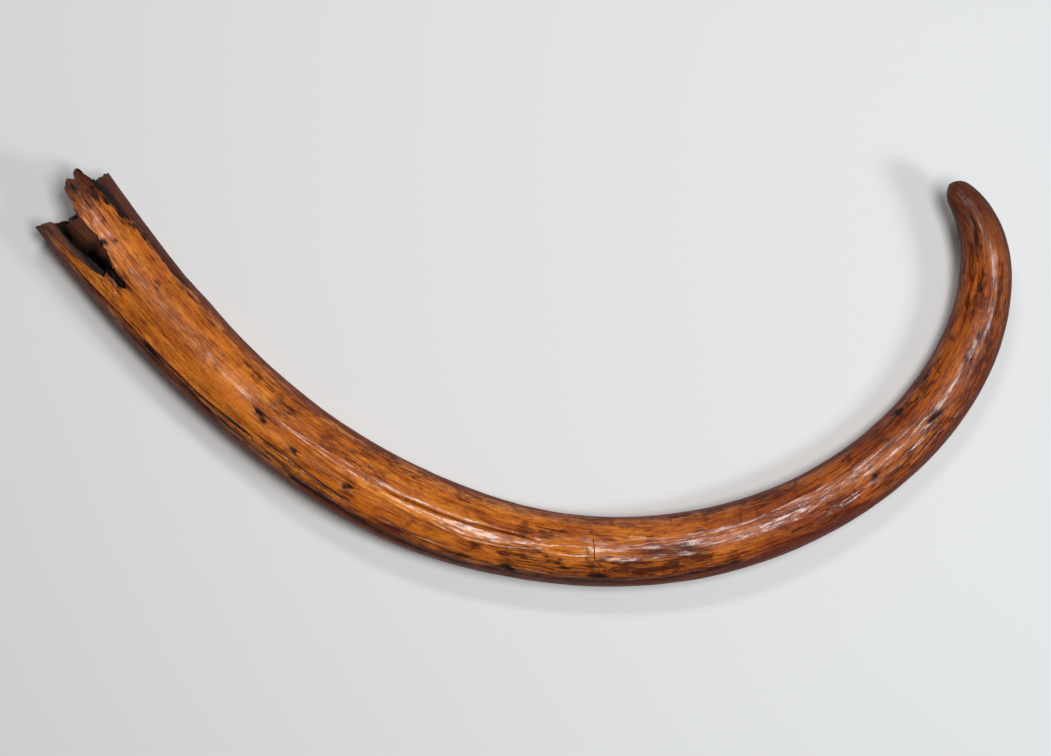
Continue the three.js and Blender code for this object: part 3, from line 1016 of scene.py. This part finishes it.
relief = plus(tree, marks.outputs["Height"], times(tree, dimples, 1.6))
bump = add_node(tree, "Bump", Height=relief, Strength=0.7, Distance=0.0006)
tree.links.new(bump.outputs[0], surface.inputs["Normal"])
surface.inputs["IOR"].default_value = POLISH_IOR
surface.inputs["Coat Roughness"].default_value = COAT_ROUGHNESS

# %% [markdown]
# ## Broken ivory and the pulp hollow
# A break shows the layers on edge: reddish brown, dull and splintered along the grain, and is
# painted darker the deeper it goes, as painted shade down in the split and the pit. The hollow's wall
# is dark brown and is painted nearly black further in, as painted shade. Both read how deep a point
# is under the skin, which the mesh carries.

# %% The two dull finishes


def dull_ivory(material, light, dark, deep, rough):
    tree, surface = start_material(material)
    place = from_mesh(tree, "straight", "Vector")
    along = add_node(tree, "SeparateXYZ", Vector=place).outputs[0]
    marks = use_group(tree, grain, place)
    spots = use_group(tree, mottle, place)
    below_skin = from_mesh(tree, "depth")
    wavy = plus(tree, below_skin, times(tree, stretched_noise(tree, place, (30, 4)), 0.0022))
    layers = add_node(tree, "TexWave", {"wave_type": "BANDS", "bands_direction": "X"},
                      Vector=add_node(tree, "CombineXYZ", X=wavy).outputs[0], Scale=210.0, Distortion=1.2)
    colour = lay(tree, layers.outputs[1], 0.45, light, dark)
    colour = lay(tree, marks.outputs["Streaks"], 0.7, colour, dark)
    colour = blend(tree, spots.outputs["Freckles"], colour, dark)
    # Painted shade: black the deeper under the skin and the further in from the rim.
    painted_depth_shade = times(tree, between(tree, below_skin, *deep), between(tree, along, -0.008, 0.022))
    colour = blend(tree, painted_depth_shade, colour, PITCH)
    colour = blend(tree, between(tree, from_mesh(tree, "stain_and_shadow"), 0.15, 0.5, 0.0, 0.95), colour, PITCH)
    tree.links.new(colour, surface.inputs["Base Color"])
    surface.inputs["Roughness"].default_value = rough
    surface.inputs["IOR"].default_value = BREAK_IOR
    splinters = stretched_noise(tree, place, (12, 1.6), 4.0, 0.65)
    bump = add_node(tree, "Bump", Height=splinters, Strength=0.9, Distance=0.0012)
    tree.links.new(bump.outputs[0], surface.inputs["Normal"])


dull_ivory(broken, (0.190, 0.060, 0.031, 1), (0.055, 0.016, 0.008, 1), (0.006, 0.013), 0.55)
dull_ivory(pulp_wall, (0.090, 0.030, 0.017, 1), (0.020, 0.008, 0.005, 1), (-0.004, 0.008), 0.7)
print("finishes:", ", ".join(m.name for m in tusk.data.materials))

# %% [markdown]
# ## The stage and the light
# The tusk lies on a plain pale floor, as in a studio. A wide soft light hangs over it, a cooler one
# stands off the side of the tip and a weak one leans in over the root; their reflections run along
# the polish in broken lines and show its grooves. A pale dim world fills the shadows.

# %% Floor and soft lights
FLOOR_SIZE = 12.0
bpy.ops.object.select_all(action="DESELECT")
bpy.ops.mesh.primitive_plane_add(size=FLOOR_SIZE)
floor = settle(bpy.context.object, "floor")
floor_finish = bpy.data.materials.new("pale_floor")
_, floor_surface = start_material(floor_finish)
floor_surface.inputs["Base Color"].default_value = (0.78, 0.78, 0.77, 1)
floor_surface.inputs["Roughness"].default_value = 0.8
floor.data.materials.append(floor_finish)


def soft_light(name, place, target, size, power, colour=(1, 1, 1)):
    data = bpy.data.lights.new(name, "AREA")
    data.shape = "RECTANGLE"
    data.size, data.size_y = size
    data.energy = power
    data.color = colour
    light = bpy.data.objects.new(name, data)
    light.location = place
    light.rotation_euler = (Vector(target) - Vector(place)).to_track_quat("-Z", "Y").to_euler()
    bpy.context.scene.collection.objects.link(light)


soft_light("overhead_key", (0.55, 0.10, 3.3), (0, -0.05, 0), (1.2, 0.6), 68)
soft_light("east_light", (1.7, -0.5, 1.9), (0.3, 0.0, 0), (0.35, 0.6), 16, colour=(0.84, 0.93, 1.0))
soft_light("root_light", (-0.1, 1.4, 2.3), (-0.35, 0.1, 0), (0.6, 0.25), 13)
world = bpy.data.worlds.new("dim_room")
bpy.context.scene.world = world
world.use_nodes = True
world.node_tree.nodes["Background"].inputs[0].default_value = (0.9, 0.93, 1.0, 1)
world.node_tree.nodes["Background"].inputs[1].default_value = 0.06
bpy.context.scene.view_settings.view_transform = "Standard"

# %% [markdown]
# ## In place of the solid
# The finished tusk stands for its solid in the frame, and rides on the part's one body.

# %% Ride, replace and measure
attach(tusk, "root")
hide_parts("tusk")
triangles = sum(len(face.vertices) - 2 for face in tusk.data.polygons)
print("tusk:", triangles, "triangles")
